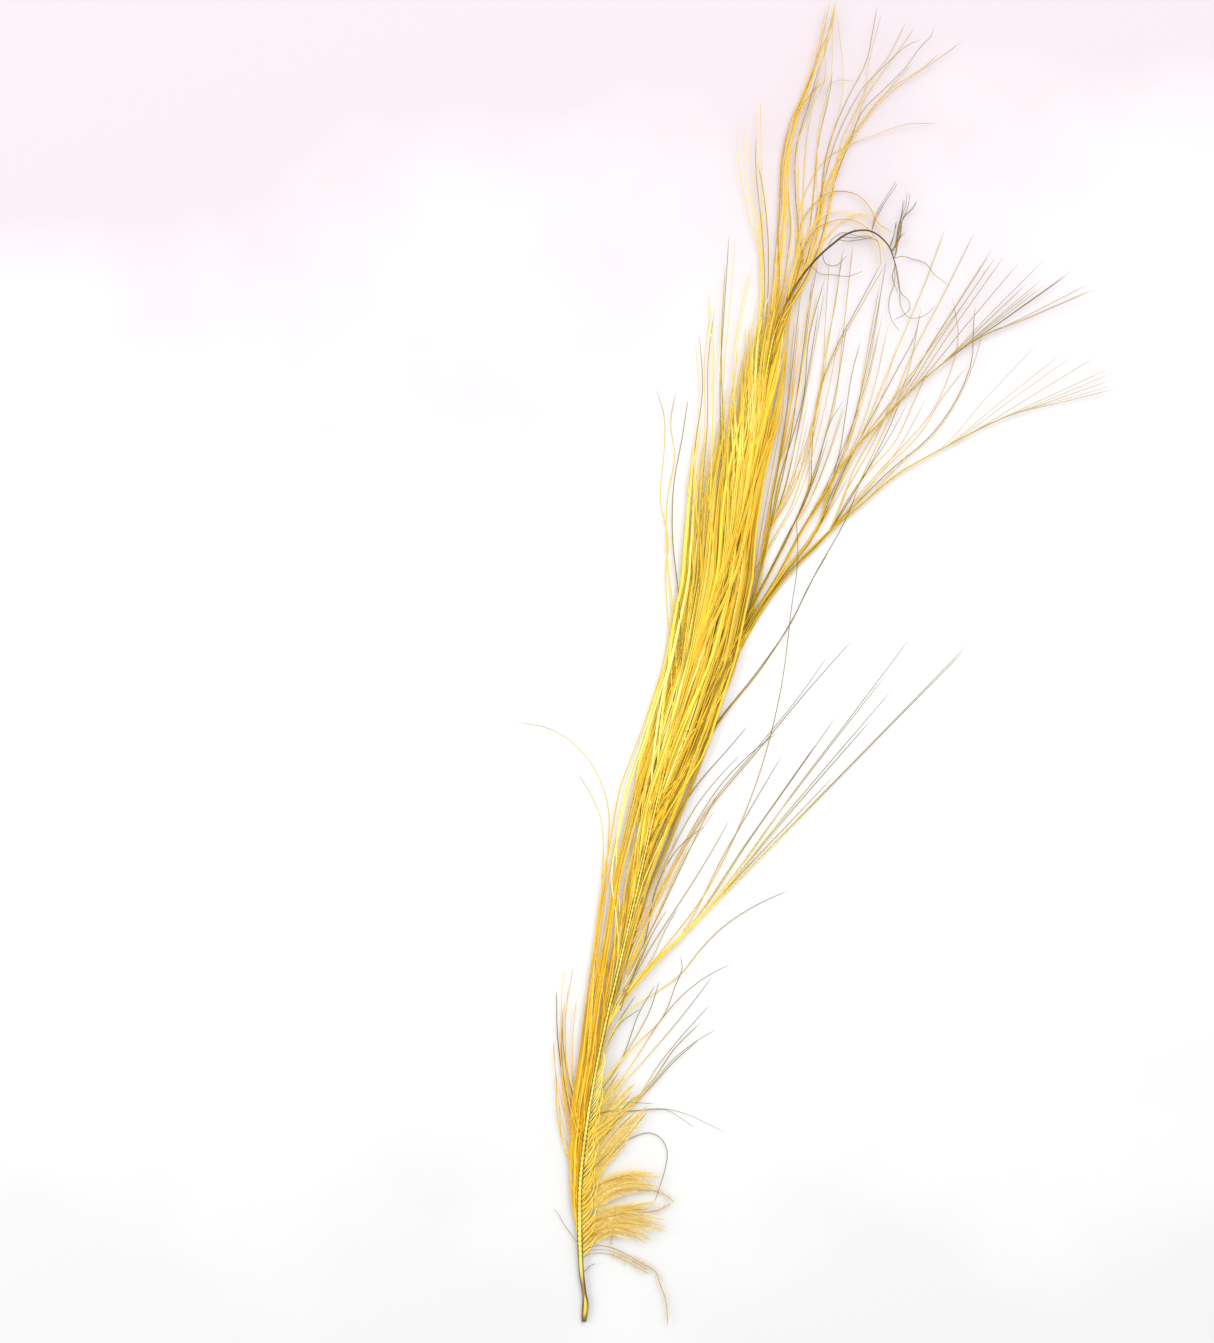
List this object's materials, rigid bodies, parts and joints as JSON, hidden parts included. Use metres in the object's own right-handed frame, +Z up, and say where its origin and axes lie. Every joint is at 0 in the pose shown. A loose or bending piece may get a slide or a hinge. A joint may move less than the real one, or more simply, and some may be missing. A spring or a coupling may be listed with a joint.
{
  "type": "egret feather",
  "caption": "Long loose-barbed egret plume, dyed golden yellow, with a bare quill, downy base locks, fanned barbs and a bent dark tip, lying flat.",
  "frame": {"origin": "middle of the plume's outline, on the surface that it lies on", "axes": "+Y from the quill end to the top tips, +Z up from the surface, +X to the side where the barbs fan out"},
  "size_m": [0.1357, 0.2999, 0.0055],
  "materials": {
    "dyed_feather": "dyed keratin barbs: golden yellow with orange and olive-brown strands, satin"
  },
  "bodies": {
    "root": {"feather": "dyed_feather"}
  },
  "joints": []
}
